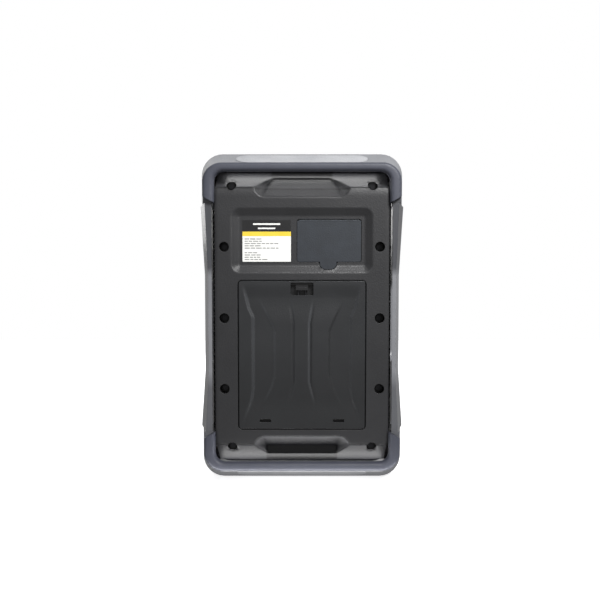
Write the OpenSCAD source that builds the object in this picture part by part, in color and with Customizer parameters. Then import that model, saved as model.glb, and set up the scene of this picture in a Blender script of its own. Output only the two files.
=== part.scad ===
// Rugged portable loudspeaker in a roll cage. X is the width, +Y the rear, +Z up.
// Z = 0 is the flat base of the cage. Depths are counted forward from the rear tubes.

/* [Cage] */
// Height over the bumpers
cage_h = 443; // [420:1:560]
// Width over the rails at their ends
cage_w = 277; // [262:1:340]
// Depth from the rear tubes to the front rims
cage_d = 140; // [134:1:180]
// How far the bumpers stand out above the rear tubes
flare_z = 20; // [16:0.5:28]
// How far the rails stand out beside the rear tubes
flare_x = 9; // [7:0.5:13]
// Depth at which the cage is widest
ridge_d = 60; // [50:1:66]
// Wall of the bumpers
bumper_wall = 6.5; // [4:0.5:8]
// Length of the bumper legs, measured from the cage's end
leg_len = 71.5; // [60:0.5:80]
// Corner radius of the bumpers at the ridge
bumper_r = 29; // [22:1:36]
// How far the bumper legs stand inside the rails' ends
leg_inset = 2; // [1:0.5:3]
// Head diameter of the screws that pin the legs
pin_head = 7; // [6:0.5:8]
// Height of the rubber blocks between body and legs
block_h = 14; // [10:1:18]

/* [Tubes and rims] */
// Width of a tube where it runs up the side
tube_w = 15; // [12:0.5:17]
// Height of a tube where it runs across
tube_h = 11.3; // [9:0.1:12.5]
// Depth of the rear tubes
tube_d = 17; // [13:0.5:20]
// Outer corner radius of the rear tubes
tube_r = 25; // [20:1:30]
// Inner corner radius of the rear tubes
tube_inner_r = 12; // [8:1:16]
// Width of the step along the edges of the rear tubes
tube_bevel = 2.5; // [1:0.5:3.5]
// Depth of the front rims
rim_d = 12; // [8:0.5:16]

/* [Pads] */
// Width of a pad
pad_w = 176; // [140:1:190]
// Length of a pad along the sloping face
pad_deep = 34; // [24:1:38]
// Thickness of a pad below the face
pad_t = 1.6; // [1:0.1:2.5]
// How far a pad stands proud of the face
pad_proud = 0.4; // [0:0.1:1]

/* [Rails] */
// Depth of the rails' rear faces
rail_d = 6; // [4:0.5:8]
// Gap between the rear panel and a rail
rail_gap = 3.5; // [3:0.1:5]
// Rear face of a rail along its waist
rail_face = 5; // [4:0.5:8]
// How much wider that face is at the rail's ends
face_swell = 3.8; // [2:0.1:6]
// Wall of a rail along its waist
rail_wall = 7; // [5:0.5:9]
// How much wider a rail stands at its ends than at its waist
rail_swell = 5.3; // [2:0.1:7]
// Upper end of the waist above the middle
waist_up = 58; // [40:1:80]
// Lower end of the waist below the middle
waist_down = 72; // [40:1:80]

// Depth at which the rails' side windows begin
window_d = 74; // [66:1:80]
// Length of the side windows along the depth
window_deep = 46; // [20:1:50]
// Distance from the ends of the waist to a side window
window_edge = 8; // [4:1:20]

/* [Body] */
// Gap between the body and each end of the cage
body_gap = 25; // [24.5:0.5:30]
// How far the grille bulges out beside the rear panel
body_bulge = 6.8; // [4:0.1:7.2]
// Depth of the rear panel behind the rear tubes
panel_d = 9; // [8:0.5:11]
// Height that each end of the rear panel slopes away over
end_slope = 28; // [20:1:32]
// Depth at which the sloping ends become square
slope_d = 50; // [42:1:56]
// Depth of the joint between the rear and front shells
split_d = 60; // [58:1:66]
// Depth of the front face
front_d = 121; // [116:1:126]
// Wall of the shells
wall = 3; // [2.4:0.1:3.4]
// Corner radius of the body
body_r = 12; // [8:1:16]
// How far the body sits above the middle of the cage
body_lift = 1; // [0:0.5:1.5]

/* [Rear panel] */
// Width of the recess for label and port door
recess_w = 184; // [178:1:190]
// Height of that recess
recess_h = 83.6; // [80:0.2:88]
// Depth of that recess
recess_t = 5.5; // [4.5:0.5:6]
// Width of the recess's sloping edge
recess_bevel = 9; // [6:0.5:10]
// Distance from the panel's top crease to the recess
recess_gap = 26.3; // [22:0.1:28]
// Distance from the recess to the battery door
door_gap = 10.5; // [8:0.5:12]
// Distance from the battery door to the panel's bottom crease
door_foot = 20.8; // [18:0.1:24]
// Label width
label_w = 63.5; // [50:0.5:70]
// Label height
label_h = 54.2; // [40:0.2:60]
// Label centre to one side
label_x = 46.3; // [44:0.1:48]
// Port door width
port_w = 83.8; // [80:0.2:86]
// Port door height
port_h = 55; // [52:0.5:57]
// Port door centre to one side
port_x = -35.6; // [-37:0.1:-34]
// Port door thickness
port_t = 2.5; // [2:0.1:3]
// Width of the port door's pull tab
tab_w = 22; // [18:1:26]
// How far the pull tab reaches below the port door
tab_drop = 10; // [8:0.5:10]
// Corner radius of the pull tab
tab_r = 8; // [6:0.5:9]
// Depth of the port bay behind the recess
port_deep = 20; // [16:0.5:24]

/* [Screw wells] */
// Diameter of a screw well
well_dia = 13; // [11:0.5:14]
// Depth of a screw well
well_t = 20; // [14:1:24]
// Side wells from the middle
well_x = 101.9; // [100:0.1:103]
// Spacing of the side wells
well_pitch = 93.2; // [88:0.2:96]
// Corner wells from the middle
corner_well_x = 92.4; // [88:0.1:94]
// Corner wells from the crease, outwards
corner_well_rise = 3.5; // [1:0.5:5]

/* [Scoops] */
// Half width of a finger scoop at its mouth
scoop_mouth = 62; // [56:1:64]
// Half width of a finger scoop at its floor
scoop_floor = 48; // [44:1:54]
// Corner radius of the scoops
scoop_r = 11; // [6:1:14]
// How far a scoop reaches past the crease into the panel
scoop_reach = 11.5; // [8:0.5:13]
// Depth of a scoop's floor
scoop_d = 34; // [28:1:38]

/* [Battery bay] */
// Battery door width
door_w = 167; // [160:1:172]
// Battery door thickness
door_t = 3.5; // [3:0.1:3.8]
// Corner radius of the battery door
door_r = 5; // [4:0.5:6]
// Ledge that the battery door rests on
door_ledge = 6; // [5:0.5:8]
// Clearance round the doors
door_clear = 1; // [0.6:0.1:1.4]
// Battery cell diameter
cell_dia = 33.4; // [32:0.2:34]
// Battery cell length
cell_len = 61.5; // [58:0.5:62]
// Gap between two battery cells
cell_gap = 1.4; // [1:0.1:2]
// Hinge peg diameter
peg_dia = 3; // [2.4:0.1:3.2]
// Hinge peg length
peg_len = 4; // [3:0.5:5]
// Width of the slots at the foot of the battery door
slot_w = 14.8; // [10:0.2:18]
// Height of those slots
slot_h = 4; // [3:0.1:5]
// Slots from the middle
slot_x = 48.3; // [40:0.1:56]
// Slots above the foot of the door
slot_rise = 11.2; // [9:0.1:14]

/* [Latch] */
// Width of the finger pocket
pocket_w = 30; // [26:1:34]
// Height of the finger pocket
pocket_h = 16.5; // [14:0.5:18]
// Depth of the finger pocket
pocket_t = 8; // [7:0.5:9]
// Latch width
latch_w = 16.4; // [14:0.2:18]
// Latch travel
latch_travel = 3; // [2:0.2:3.4]
// How far the latch reaches past the door into its catch
latch_bite = 2.6; // [2:0.1:2.8]

/* [Grille and drivers] */
// Distance from the grille's front edge to the foot of the body
grille_foot = 8.5; // [6:0.5:16]
// Thickness of the grille sheet
grille_t = 1.3; // [1:0.1:1.4]
// Corner radius of the body's front edges
front_r = 14; // [10:1:18]
// Outer diameter of a driver
driver_dia = 136; // [124:1:138]
// Spacing of the two drivers
driver_pitch = 141; // [139:1:146]
// Depth of a driver behind the baffle
driver_depth = 54; // [46:1:55]
// Magnet diameter
magnet_dia = 80; // [64:1:84]

/* [Control panel] */
// How far the control panel reaches above the rear panel's crease
control_rise = 20; // [16:1:22]
// Height of the control panel
control_h = 84; // [80:1:88]
// Width of the control panel
control_w = 214; // [208:1:218]
// Thickness of the control panel
control_t = 3; // [2.4:0.2:3.4]
// Knob diameter
knob_dia = 30; // [24:1:34]
// Knob height
knob_h = 11; // [8:0.5:12]
// Knobs from the middle
knob_x = 82; // [78:1:84]
// Width of the display window
window_w = 96; // [80:1:104]
// Height of the display window
window_h = 34; // [28:1:38]
// Diameter of the buttons
button_dia = 12; // [9:0.5:14]
// Spacing of the buttons
button_pitch = 23; // [20:0.5:26]
// Travel of the buttons
button_travel = 1.2; // [0.8:0.1:1.5]

/* [Hidden] */
$fn = 48;
slice = 0.01;                                   // thickness of a section inside a hull
eps = 0.01;
clear = 0.3;                                    // gap between pieces that don't touch
mid = cage_h/2;
body_mid = mid + body_lift;
ring_w = cage_w - 2*flare_x;
ring_h = cage_h - 2*flare_z;
leg_w = cage_w - 2*leg_inset;
split_z = mid - leg_len;                        // end of the legs, from the middle
rim_inset = 1;                                  // how far the front rims stand inside the ridge
rim_wall = bumper_wall + 1;
panel_w = ring_w - 2*tube_w - 2*clear;           // the panel fits between the rear tubes
rail_inner = panel_w/2 + rail_gap;
body_w = panel_w + 2*body_bulge;
body_h = cage_h - 2*body_gap;
grille_half = split_z - 1;                      // the grille's sides end between the bumper legs
grille_low = body_h/2 - grille_foot;
panel_h = body_h - 2*end_slope;
shell_w = body_w - 2*grille_t - 2*clear;
recess_z = panel_h/2 - recess_gap - recess_h/2; // heights from the body's middle
door_top = recess_z - recess_h/2 - door_gap;
door_bottom = door_foot - panel_h/2;
door_h = door_top - door_bottom;
door_z = (door_top + door_bottom)/2;
peg_z = door_bottom + peg_dia/2 + 0.6;
peg_d = panel_d + door_t/2 + 1;                 // the pegs lie behind the panel's skin
door_swing = 75;                                // how far the battery door opens, in degrees
swing_r = (peg_d - panel_d)/cos(door_swing/2) + 0.3;   // room for the door's lower edge to swing
peg_clear = 0.08;
recess_d = panel_d + recess_t;
port_z = recess_z;
flap_z = port_z + port_h/2 - port_t/2;          // axis of the port door's bend
tuck = grille_t + 2*clear;                      // the grille's rear edge lies under the panel's lip
lip = wall + 0.7;
contact_t = 3.4;
cell_pitch = cell_dia + cell_gap;
cell_x = cell_len/2 + 2;
bay_w = 2*(cell_x + cell_len/2 + contact_t + 0.2);
bay_h = door_h - 2*door_ledge;
bay_back = panel_d + door_t + wall;             // rear edge of the tray
cell_rows = floor((bay_h - 2*wall - 4)/cell_pitch);
cell_d = bay_back + 1 + cell_dia/2;
tray_front = cell_d + cell_dia/2 + 1 + 2;
pocket_wall = 1.6;
pocket_z = door_top - 1 - pocket_wall - pocket_h/2;
latch_d = 3.6;
latch_t = 2.6;
latch_grip = 4;                                 // height of the latch's finger lip
latch_low = pocket_z - pocket_h/2 + 1 + latch_travel + latch_bite;
baffle_t = 4;
basket_front = front_d - baffle_t - clear;
driver_z = 0.5*driver_pitch;
control_z = panel_h/2 - control_h/2 + control_rise;
drivers_mid = (control_z - control_h/2 - body_h/2)/2;   // the drivers share the front below the controls
control_d = front_d + 0.2;
port_floor = recess_d + port_deep;                        // depth of the port panel
port_clear = 0.6;
tab_shift = 1.2;
port_back = recess_d + port_t + 1.5;                      // back of the skin round the flap

// A flat outline standing in the X-Z plane, from depth d0 to depth d1
module slab(d0, d1, at = mid)
    translate([0, cage_d/2 - d0, at]) rotate([90, 0, 0]) linear_extrude(d1 - d0) children();

// A flat outline in the X-Y plane, from height z0 to height z1
module plan(z0, z1) translate([0, 0, z0]) linear_extrude(z1 - z0) children();

module round_rect(w, h, r) {
    square([w - 2*r, h], center = true);
    square([w, h - 2*r], center = true);
    for (x = [-1, 1], z = [-1, 1]) translate([x*(w/2 - r), z*(h/2 - r)]) circle(r);
}

// A rod along the depth, from d0 to d1
module rod(x, z, r, d0, d1, at = body_mid)
    slab(d0, d1, at) translate([x, z]) circle(r);

module pipe(x, z, r_out, r_in, d0, d1, at = body_mid)
    slab(d0, d1, at) translate([x, z]) difference() { circle(r_out); circle(r_in); }

module other_end() translate([0, 0, cage_h]) mirror([0, 0, 1]) children();

module above(z) translate([-cage_w, -cage_d, z]) cube([2*cage_w, 2*cage_d, cage_h]);

// ---- cage ----

// Solid bounded by the cage's outer skin, drawn in by t
module cage_solid(t, front) hull() {
    slab(tube_d, tube_d + slice) round_rect(ring_w - 2*t, ring_h - 2*t, tube_r - t/2, $fn = 32);
    for (d = [ridge_d, front])
        slab(d - slice, d) round_rect(leg_w - 2*t, cage_h - 2*t, bumper_r - t/2, $fn = 32);
}

// The pads lie in shallow trays in the sloping faces behind the ridge
module pad_solid(grow, up) translate([0, cage_d/2 - (tube_d + ridge_d)/2, cage_h - flare_z/2])
    rotate([-atan2(flare_z, ridge_d - tube_d), 0, 0]) translate([0, 0, -pad_t])
        linear_extrude(pad_t + up) round_rect(pad_w + 2*grow, pad_deep + 2*grow, pad_deep/2 + grow - eps);

module bumper() difference() {
    cage_solid(0, cage_d - rim_d);
    cage_solid(bumper_wall, cage_d - rim_d + 1);
    slab(tube_d - 1, tube_d + 1) 
        round_rect(ring_w - 2*bumper_wall, ring_h - 2*bumper_wall, tube_inner_r);
    translate([0, 0, mid + split_z - cage_h]) above(0);
    pad_solid(clear, 2);
}
module top_bumper() color("#8f9093") bumper();
module bottom_bumper() color("#8f9093") other_end() bumper();
module top_pad() color("#b3b4b6") pad_solid(0, pad_proud);
module bottom_pad() color("#b3b4b6") other_end() pad_solid(0, pad_proud);

// Half a ring with round outer and inner corners, its edges stepped in once
module half_ring(d0, d1, w, h, r, side, across) intersection() {
    union() for (step = [[0, tube_bevel], [tube_bevel - 0.5, 0]]) slab(d0 + step[0], d1) difference() {
        round_rect(w - 2*step[1], h - 2*step[1], r - step[1]);
        round_rect(w - 2*side + 2*step[1], h - 2*across + 2*step[1], tube_inner_r + step[1]);
    }
    above(mid + split_z);
}
module rear_tube() half_ring(0, tube_d, ring_w, ring_h, tube_r, tube_w, tube_h);
module rear_top_tube() color("#5b5d6a") rear_tube();
module rear_bottom_tube() color("#5b5d6a") other_end() rear_tube();

module front_rim() intersection() {
    slab(cage_d - rim_d, cage_d) difference() {
        round_rect(leg_w - 2*rim_inset, cage_h - 2*rim_inset, bumper_r - rim_inset);
        round_rect(leg_w - 2*rim_wall, cage_h - 2*rim_wall, bumper_r - rim_wall);
    }
    above(mid + split_z);
}
module front_top_rim() color("#5b5d6a") front_rim();
module front_bottom_rim() color("#5b5d6a") other_end() front_rim();

// Rail sections at a height: the rear half leans out to the ridge, the front half runs straight
module rail_rear(z, swell) plan(z, z + slice) polygon([
    [rail_inner, cage_d/2 - rail_d],
    [rail_inner + rail_face + swell*face_swell/rail_swell, cage_d/2 - rail_d],
    [cage_w/2 - rail_swell + swell, cage_d/2 - ridge_d],
    [cage_w/2 - rail_swell - rail_wall, cage_d/2 - ridge_d]]);
module rail_front(z, swell) plan(z, z + slice) polygon([
    [cage_w/2 - rail_swell - rail_wall, cage_d/2 - ridge_d],
    [cage_w/2 - rail_swell + swell, cage_d/2 - ridge_d],
    [cage_w/2 - rail_swell + swell - 2, -cage_d/2 + 2],
    [cage_w/2 - rail_swell - rail_wall, -cage_d/2 + 2]]);

module rail() difference() {
    rail_beam();
    translate([0, cage_d/2 - window_d - window_deep/2, mid + (waist_up - waist_down)/2]) rotate([90, 0, 90])
        linear_extrude(cage_w) round_rect(window_deep, waist_up + waist_down - 2*window_edge, 14);
}
module rail_beam() {
    low = mid - split_z;
    high = mid + split_z - slice;
    up = mid + waist_up;
    down = mid - waist_down;
    for (part = [[low, down, rail_swell, 0], [down, up, 0, 0], [up, high, 0, rail_swell]]) {
        hull() { rail_rear(part[0], part[2]); rail_rear(part[1], part[3]); }
        hull() { rail_front(part[0], part[2]); rail_front(part[1], part[3]); }
    }
}
module left_rail() color("#77787b") rail();
module right_rail() color("#77787b") mirror([1, 0, 0]) rail();

// Screws that pin the bumper legs from inside
screw_d = ridge_d + 34;
pin_t = 3.2;
pin_z = split_z + 8;
leg_inner = leg_w/2 - bumper_wall;
module cage_screws() color("#3a3a3c")
    for (x = [-1, 1], z = [-1, 1])
        translate([x*(leg_inner - pin_t/2), cage_d/2 - screw_d, mid + z*pin_z])
            rotate([0, 90, 0]) cylinder(h = pin_t, d = pin_head, center = true);

// Rubber blocks that carry the body in the cage's legs
module isolators() color("#222326")
    for (x = [-1, 1], z = [-1, 1])
        translate([x*(shell_w/2 + leg_inner)/2, cage_d/2 - (split_d + 24),
            mid + z*(pin_z + pin_head/2 + 1 + block_h/2)])
                cube([leg_inner - shell_w/2, 22, block_h], center = true);

// ---- body shells ----

// Solid bounded by the rear shell's outer skin, drawn in by t
module rear_solid(t, front) hull() {
    slab(panel_d + t, panel_d + t + slice, body_mid)
        round_rect(panel_w - 2*(t + tuck), panel_h - 1.2*t, 3, $fn = 32);
    for (d = [slope_d, front])
        slab(d - slice, d, body_mid) round_rect(shell_w - 2*t, body_h - 2*t, body_r - t, $fn = 32);
}

// A scoop's hollow, narrower at its floor; end is 1 at the top and -1 at the bottom
scoop_h = end_slope + scoop_reach + 2;
scoop_block = scoop_h + wall;
scoop_step = 8;
module scoop(end) hull() {
    slab(panel_d - 1, panel_d - 1 + slice, body_mid + end*(body_h/2 + 2 - scoop_h/2))
        round_rect(2*scoop_mouth, scoop_h, scoop_r, $fn = 32);
    slab(scoop_d - slice, scoop_d, body_mid + end*(body_h/2 + 2 - (scoop_h - scoop_step)/2))
        round_rect(2*scoop_floor, scoop_h - scoop_step, scoop_r, $fn = 32);
}

module well_places() {
    for (x = [-1, 1], z = [-1, 0, 1]) translate([x*well_x, z*well_pitch - body_lift]) children();
    for (x = [-1, 1], z = [-1, 1])
        translate([x*corner_well_x, z*(panel_h/2 + corner_well_rise)]) children();
}

module door_outline(grow) round_rect(door_w + 2*grow, door_h + 2*grow, door_r + grow);
module bay_outline(grow) round_rect(bay_w + 2*grow, bay_h + 2*grow, 3 + grow);
module pocket_box(grow)
    square([pocket_w + 2*pocket_wall + 2*grow, pocket_h + 2*pocket_wall + 2*grow], center = true);
module port_outline(grow) translate([port_x, port_z]) {
    round_rect(port_w + 2*grow, port_h + 2*grow, 2.5 + grow);
    tab_outline(grow);
}
module tab_outline(grow) translate([tab_shift, tab_r - port_h/2 - tab_drop])
    round_rect(tab_w + 2*grow, 2*tab_r + 2*grow, tab_r + grow - eps);
module port_mouth(grow) translate([port_x, port_z])
    square([port_w - 8 + 2*grow, port_h - 8 + 2*grow], center = true);

module rear_shell() color("#2b2c2e") difference() {
    union() {
        difference() { rear_solid(0, split_d); rear_solid(wall, split_d + 1); }
        slab(panel_d, panel_d + lip, body_mid) difference() {
            round_rect(panel_w, panel_h, 3);
            square([panel_w - 20, panel_h - 20], center = true);
        }
        slab(panel_d, bay_back, body_mid) translate([0, door_z]) door_outline(wall);
        slab(panel_d, port_back, body_mid) translate([0, recess_z])
            round_rect(recess_w + 4, recess_h + 4, 10);
        intersection() {
            rear_solid(0, split_d);
            union() {
                slab(panel_d, panel_d + well_t, body_mid) well_places() circle(well_dia/2 + 2);
                for (end = [-1, 1]) slab(panel_d, scoop_d + wall, body_mid + end*(body_h/2 - scoop_block/2))
                    square([2*scoop_mouth + 2*wall, scoop_block], center = true);
            }
        }
    }
    hull() {
        slab(panel_d - eps, panel_d, body_mid) translate([0, recess_z])
            round_rect(recess_w, recess_h, 10, $fn = 32);
        slab(recess_d - slice, recess_d, body_mid) translate([0, recess_z])
            round_rect(recess_w - 2*recess_bevel, recess_h - 2*recess_bevel, 6, $fn = 32);
    }
    for (end = [-1, 1]) scoop(end);
    slab(panel_d - 1, panel_d + well_t - 3, body_mid) well_places() circle(well_dia/2);
    slab(panel_d + well_t - 4, panel_d + well_t + 1, body_mid) well_places() circle(2.2);
    slab(panel_d - 1, panel_d + door_t + 0.3, body_mid) translate([0, door_z]) door_outline(door_clear);
    slab(panel_d, bay_back + 1, body_mid) translate([0, door_z]) bay_outline(0);
    slab(panel_d, bay_back + 1, body_mid) translate([0, pocket_z]) pocket_box(clear);
    slab(recess_d - eps, recess_d + port_t + 0.3, body_mid) port_outline(port_clear);
    // square corners beside the flap's round edge, so that its own corners can swing
    slab(recess_d - eps, recess_d + port_t + 0.3, body_mid) translate([port_x, flap_z])
        square([port_w + 2*port_clear, port_t + 2*port_clear], center = true);
    slab(panel_d - 1, recess_d + port_t, body_mid) translate([port_x, port_z]) tab_outline(port_clear);
    slab(recess_d, port_floor + 1, body_mid) port_mouth(0);
    // sockets for the battery door's pegs, and a groove for its round edge
    translate([0, cage_d/2 - peg_d, body_mid + peg_z]) rotate([0, 90, 0]) {
        cylinder(h = door_w + 2*peg_len + 1, r = peg_dia/2 + peg_clear, center = true);
        cylinder(h = door_w + 2*door_clear, r = door_t/2 + 0.5, center = true);
    }
    intersection() {
        translate([0, cage_d/2 - peg_d, body_mid + peg_z]) rotate([0, 90, 0])
            cylinder(h = door_w + 2*door_clear, r = swing_r, center = true);
        slab(panel_d - 1, peg_d + 0.2, body_mid) square([door_w + 4, panel_h], center = true);
    }
    // catch for the latch
    slab(panel_d + latch_d - 0.4, panel_d + latch_d + latch_t + 0.6, body_mid)
        translate([0, latch_top - 3.2]) square([latch_w + 1.4, 8], center = true);
}

module shell_plan(t) translate([0, cage_d/2]) {
    w = shell_w/2 - t;
    r = front_r - t;
    translate([0, -(split_d + front_d - r)/2]) square([2*w, front_d - r - split_d], center = true);
    translate([0, -(split_d + front_d - t)/2]) square([2*(w - r), front_d - t - split_d], center = true);
    for (x = [-1, 1]) translate([x*(w - r), -(front_d - t - r)]) circle(r);
}

module front_shell() color("#2b2c2e") difference() {
    intersection() {
        plan(body_mid - body_h/2, body_mid + body_h/2) shell_plan(0);
        slab(split_d + gasket_t, front_d, body_mid) round_rect(shell_w, body_h, body_r);
    }
    intersection() {
        plan(body_mid - body_h/2 + wall, body_mid + body_h/2 - wall) shell_plan(wall);
        slab(0, front_d - baffle_t, body_mid) square([shell_w, body_h], center = true);
    }
    for (z = [-1, 1])
        rod(0, drivers_mid + z*driver_z, driver_dia/2 - 6, front_d - baffle_t - 1, front_d + 1);
    slab(front_d - baffle_t - 1, front_d + 1, body_mid) translate([0, control_z])
        square([control_w - 16, control_h - 16], center = true);
}

gasket_t = 1.2;
module shell_gasket() color("#18181a") slab(split_d, split_d + gasket_t, body_mid) difference() {
    round_rect(shell_w - 1, body_h - 1, body_r - 0.5);
    round_rect(shell_w - 2*wall, body_h - 2*wall, body_r - wall);
}

module case_screws() color("#4a4a4c") slab(panel_d + well_t - 6, panel_d + well_t - 3, body_mid)
    well_places() circle(3.6);

// Outline of the body inside the grille's outer skin, drawn in by t
module grille_plan(t) {
    w = body_w/2 - t;
    r = front_r + grille_t - t;
    f = front_d + clear + grille_t - t;
    rear = panel_d + lip + clear - t;
    half = concat([[panel_w/2 - t, -rear], [w, -slope_d]],
        [for (a = [0:10:90]) [w - r + r*cos(a), -f + r - r*sin(a)]]);
    translate([0, cage_d/2])
        polygon(concat(half, [for (i = [len(half) - 1:-1:0]) [-half[i][0], half[i][1]]]));
}
// Sheet wrapped round both sides and the front; the front reaches lower than the sides
module speaker_grille() color("#1f2022") difference() {
    plan(body_mid - grille_low, body_mid + grille_half) grille_plan(0);
    plan(0, cage_h) grille_plan(grille_t);
    slab(0, front_d, body_mid - grille_half - body_h/2) square([body_w + 1, body_h], center = true);
    slab(front_d - 2, front_d + 4, body_mid) translate([0, control_z])
        square([control_w + 1, control_h + 1], center = true);
}

module label() color("#f2f2ee") slab(recess_d - 0.3, recess_d, body_mid)
    translate([label_x, recess_z - 0.3]) square([label_w, label_h], center = true);

// ---- ports ----

// A rubber flap that bends open along its round upper edge
module port_door() color("#323b45") {
    slab(recess_d, recess_d + port_t, body_mid) intersection() {
        port_outline(0);
        translate([port_x, flap_z - port_h/2 - tab_drop])
            square([port_w, port_h + 2*tab_drop], center = true);
    }
    translate([port_x, cage_d/2 - recess_d - port_t/2, body_mid + flap_z]) rotate([0, 90, 0])
        cylinder(h = port_w - 2*2.5, r = port_t/2 + 0.15, center = true);
}

// A cup behind the port door's opening, with the sockets in its floor
module port_panel() color("#232427") difference() {
    slab(port_back, port_floor + port_wall, body_mid) port_mouth(port_wall);
    slab(port_back - 1, port_floor, body_mid) port_mouth(0);
    for (s = port_sockets) rod(port_x + s[0], port_z, s[1], port_floor - 1, port_floor + port_wall + 1);
}
port_wall = 2;
// socket centre to one side, hole radius
port_sockets = [[-22, 4.2], [0, 6.5], [22, 5.2]];
port_hole_clear = 0.2;
socket_len = 13;
module socket(s, bore)
    pipe(port_x + s[0], port_z, s[1] - port_hole_clear, bore, port_floor, port_floor + socket_len);
module aux_socket() color("#101012") socket(port_sockets[0], 1.85);
module usb_socket() color("#b9bbbe") slab(port_floor, port_floor + socket_len, body_mid)
    translate([port_x, port_z]) difference() {
        square([9.2, 5.2], center = true);
        square([8.2, 4.2], center = true);
    }
module dc_socket() color("#101012") {
    socket(port_sockets[2], 3.1);
    rod(port_x + port_sockets[2][0], port_z, 1.05, port_floor + 1, port_floor + socket_len);
}
board_t = 1.6;
board_d0 = port_floor + socket_len;
module port_board() color("#1e5a34") slab(board_d0, board_d0 + board_t, body_mid)
    translate([port_x, port_z]) square([port_w - 12, port_h - 14], center = true);

// ---- battery bay ----

module battery_door() color("#2f3032") difference() {
    union() {
        slab(panel_d, panel_d + door_t, body_mid) translate([0, door_z]) intersection() {
            door_outline(0);
            translate([0, (peg_z - door_z)/2 + door_h/4])
                square([door_w, door_h/2 + door_z - peg_z], center = true);
        }
        translate([0, cage_d/2 - peg_d, body_mid + peg_z]) rotate([0, 90, 0]) {
            cylinder(h = door_w - 2*door_r, r = door_t/2, center = true);
            cylinder(h = door_w + 2*peg_len, r = peg_dia/2, center = true);
        }
        slab(panel_d + door_t, panel_d + pocket_t + pocket_wall, body_mid) translate([0, pocket_z])
            pocket_box(0);
    }
    slab(panel_d - 1, panel_d + pocket_t, body_mid) translate([0, pocket_z])
        square([pocket_w, pocket_h], center = true);
    // the latch slides in this slot through the pocket's upper wall
    slab(panel_d + latch_d - 0.3, panel_d + latch_d + latch_t + 0.3, body_mid)
        translate([0, door_top - 3]) square([latch_w + 0.6, 12], center = true);
    for (x = [-1, 1]) slab(panel_d - 1, panel_d + door_t + 1, body_mid)
        translate([x*slot_x, door_bottom + slot_rise]) square([slot_w, slot_h], center = true);
}
latch_top = door_top + door_clear + latch_bite;
module battery_latch() color("#26272a") {
    slab(panel_d + latch_d, panel_d + latch_d + latch_t, body_mid)
        translate([0, (latch_low + latch_top)/2]) square([latch_w, latch_top - latch_low], center = true);
    slab(panel_d + 0.8, panel_d + latch_d, body_mid) translate([0, latch_low + latch_grip/2])
        square([latch_w, latch_grip], center = true);
}
module latch_spring() color("#b8b9bc") translate([0, cage_d/2 - panel_d - latch_d - latch_t/2, body_mid])
    for (x = [-5, 5]) translate([x, 0, pocket_z - pocket_h/2])
        difference() {
            cylinder(h = latch_low - pocket_z + pocket_h/2, r = 1.2);
            translate([0, 0, -1]) cylinder(h = 20, r = 0.8);
        }

seal_t = 0.3;
module door_seal() color("#17181a") slab(panel_d + door_t, panel_d + door_t + seal_t, body_mid)
    translate([0, door_z]) difference() {
        bay_outline(2);
        bay_outline(0.5);
        translate([0, pocket_z - door_z]) pocket_box(clear);
    }

module battery_tray() color("#303134") difference() {
    slab(bay_back, tray_front, body_mid) translate([0, door_z]) bay_outline(2);
    slab(bay_back - 1, tray_front - 2, body_mid) translate([0, door_z]) bay_outline(-eps);
    slab(bay_back - 1, panel_d + pocket_t + pocket_wall + 1, body_mid) translate([0, pocket_z])
        pocket_box(1);
}
module cell_places() for (x = [-1, 1], i = [0:cell_rows - 1])
    translate([x*cell_x, cage_d/2 - cell_d, body_mid + door_z + (i - (cell_rows - 1)/2)*cell_pitch])
        rotate([0, 90, 0]) children();
module battery_cells() color("#3c6ea0") cell_places() {
    translate([0, 0, -cell_len/2]) cylinder(h = cell_len - 2, d = cell_dia);
    translate([0, 0, cell_len/2 - 2]) cylinder(h = 1.8, d = 9.5);
}
module battery_contacts() color("#c0c2c5") for (x = [-1, 1], i = [0:cell_rows - 1])
    translate([x*(cell_x + cell_len/2 + contact_t/2 + 0.1), cage_d/2 - cell_d,
        body_mid + door_z + (i - (cell_rows - 1)/2)*cell_pitch])
            rotate([0, 90, 0]) cylinder(h = contact_t, d1 = x > 0 ? 8 : 14, d2 = 14, center = true);

// ---- electronics ----

board_d = tray_front + 4;
board_h = 32;
board_z = drivers_mid + driver_z + magnet_dia/2 + 3 + board_h/2;    // above the upper magnet
module main_board() color("#1e5a34") slab(board_d, board_d + board_t, body_mid)
    translate([0, board_z]) square([180, board_h], center = true);
module heat_sink() color("#a8aaad") slab(board_d + board_t, board_d + 8, body_mid)
    translate([60, board_z]) difference() {
        square([44, 26], center = true);
        for (i = [-3:3]) translate([i*6, 4]) square([3, 26], center = true);
    }

// ---- drivers ----

// A solid turned about the axis of one driver; depth grows along the profile's second value
module turned(at) translate([0, cage_d/2 - basket_front, body_mid + drivers_mid + at]) rotate([-90, 0, 0])
    rotate_extrude($fn = 64) children();
cone_mouth = driver_dia/2 - 16;
coil_r = 15;
cone_drop = 24;
module basket(at) turned(at) polygon([[driver_dia/2, 0], [driver_dia/2, 3], [driver_dia/2 - 7, 3],
    [magnet_dia/2 - 2, driver_depth - 17], [coil_r + 4, driver_depth - 17], [coil_r + 4, driver_depth - 19],
    [magnet_dia/2 - 3.6, driver_depth - 19], [driver_dia/2 - 9, 3], [driver_dia/2 - 9, 0]]);
module magnet(at) turned(at) polygon([[coil_r + 1, driver_depth - 17], [magnet_dia/2, driver_depth - 17],
    [magnet_dia/2, driver_depth], [0, driver_depth], [0, driver_depth - 4], [coil_r + 1, driver_depth - 4]]);
module cone(at) turned(at) polygon([[cone_mouth, 2], [coil_r, cone_drop], [coil_r - 0.6, driver_depth - 10],
    [coil_r - 1.2, driver_depth - 10], [coil_r - 1.2, cone_drop - 1.6], [cone_mouth - 0.6, 1]]);
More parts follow.
